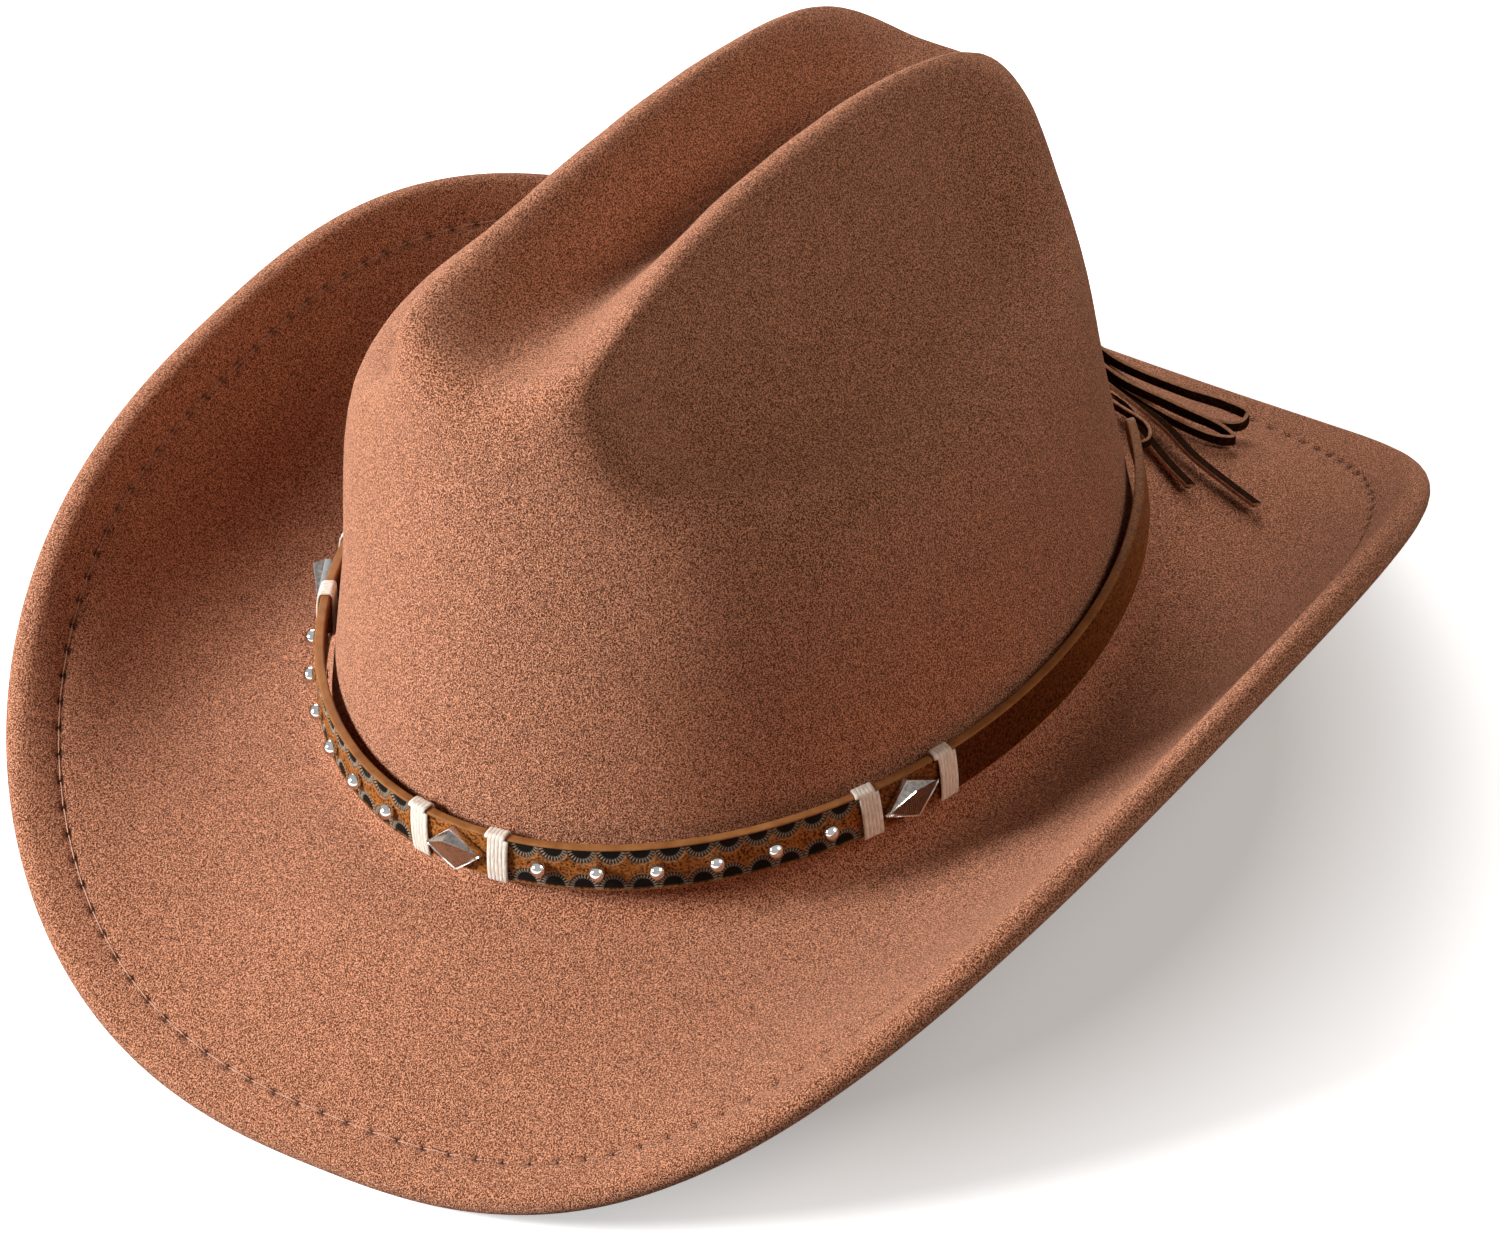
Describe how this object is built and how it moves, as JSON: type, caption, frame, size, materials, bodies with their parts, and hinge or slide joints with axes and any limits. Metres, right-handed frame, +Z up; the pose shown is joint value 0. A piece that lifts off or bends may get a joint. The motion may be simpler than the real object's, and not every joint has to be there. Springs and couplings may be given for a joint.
{
  "type": "western felt hat",
  "caption": "Western felt hat with a creased crown, a curled wired brim and a lift-off leather band that is studded and laced at the back.",
  "frame": {"origin": "on the table, under the middle of the brim's outline", "axes": "+Z up, -Y to the front of the hat, +X to the wearer's left"},
  "size_m": [0.286, 0.3244, 0.1692],
  "materials": {
    "felt": "short-napped wool felt",
    "steel": "drawn wire",
    "brass": "crimped sleeve",
    "thread": "twisted sewing thread",
    "ribbon": "ribbed ribbon",
    "leather": "tooled and dyed, satin",
    "nickel": "nickel plate, lightly worn",
    "cord": "waxed thread",
    "lace": "dark cut lace"
  },
  "bodies": {
    "hat": {"felt_body": "felt", "brim_wire": "steel", "brim_wire_sleeve": "brass", "hem_thread": "thread", "sweatband": "ribbon", "sweatband_thread": "thread"},
    "band": {"band_strap": "leather", "concho_front": "nickel", "concho_left": "nickel", "concho_right": "nickel", "stud_left_1": "nickel", "stud_left_2": "nickel", "stud_left_3": "nickel", "stud_left_4": "nickel", "stud_left_5": "nickel", "stud_left_6": "nickel", "stud_right_1": "nickel", "stud_right_2": "nickel", "stud_right_3": "nickel", "stud_right_4": "nickel", "stud_right_5": "nickel", "stud_right_6": "nickel", "wrap_front_left": "cord", "wrap_front_right": "cord", "wrap_left_front": "cord", "wrap_left_back": "cord", "wrap_right_front": "cord", "wrap_right_back": "cord", "lace_knot": "lace", "lace_tie_left": "lace", "lace_tie_right": "lace", "lace_loop_upper": "lace", "lace_loop_lower": "lace", "lace_tail_long": "lace", "lace_tail_short": "lace"}
  },
  "joints": [
    {"name": "band_lift_off", "type": "slide", "parent": "hat", "child": "band", "axis": [0, 0, 1], "range_m": [0, 0.13]}
  ]
}
